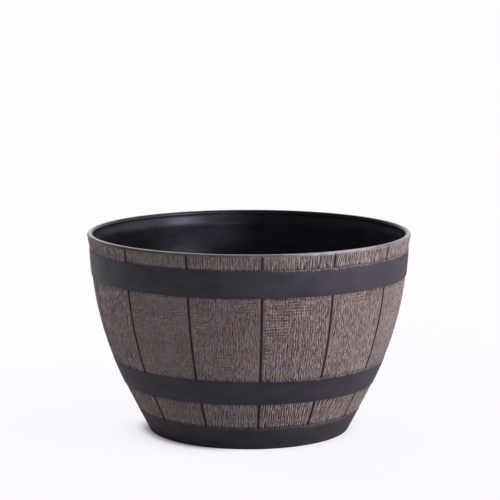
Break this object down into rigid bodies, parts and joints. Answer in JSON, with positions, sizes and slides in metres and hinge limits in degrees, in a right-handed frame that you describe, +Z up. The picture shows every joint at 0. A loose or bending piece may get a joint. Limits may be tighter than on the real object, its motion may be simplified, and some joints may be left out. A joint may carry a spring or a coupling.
{
  "type": "barrel planter",
  "caption": "Round bowed planter moulded like a half barrel, with staves, hoops, a rolled lip and plugged drain holes.",
  "frame": {"origin": "on the ground at the centre of the foot ring", "axes": "+Z up along the planter's axis, front towards -Y"},
  "size_m": [0.3939, 0.394, 0.2435],
  "materials": {
    "resin": "satin charcoal resin, moulded in one piece with the staves",
    "wood_tone": "weathered grey-brown wood tone brushed over the moulded staves and lip, worn pale on the ridges",
    "rubber": "matt black rubber"
  },
  "bodies": {
    "planter": {"planter_shell": "resin"},
    "plug_1": {"drain_plug_1": "rubber"},
    "plug_2": {"drain_plug_2": "rubber"},
    "plug_3": {"drain_plug_3": "rubber"},
    "plug_4": {"drain_plug_4": "rubber"}
  },
  "joints": [
    {"name": "plug_1_lift", "type": "slide", "parent": "planter", "child": "plug_1", "axis": [0, 0, 1], "range_m": [0, 0.27]},
    {"name": "plug_2_lift", "type": "slide", "parent": "planter", "child": "plug_2", "axis": [0, 0, 1], "range_m": [0, 0.27]},
    {"name": "plug_3_lift", "type": "slide", "parent": "planter", "child": "plug_3", "axis": [0, 0, 1], "range_m": [0, 0.27]},
    {"name": "plug_4_lift", "type": "slide", "parent": "planter", "child": "plug_4", "axis": [0, 0, 1], "range_m": [0, 0.27]}
  ]
}
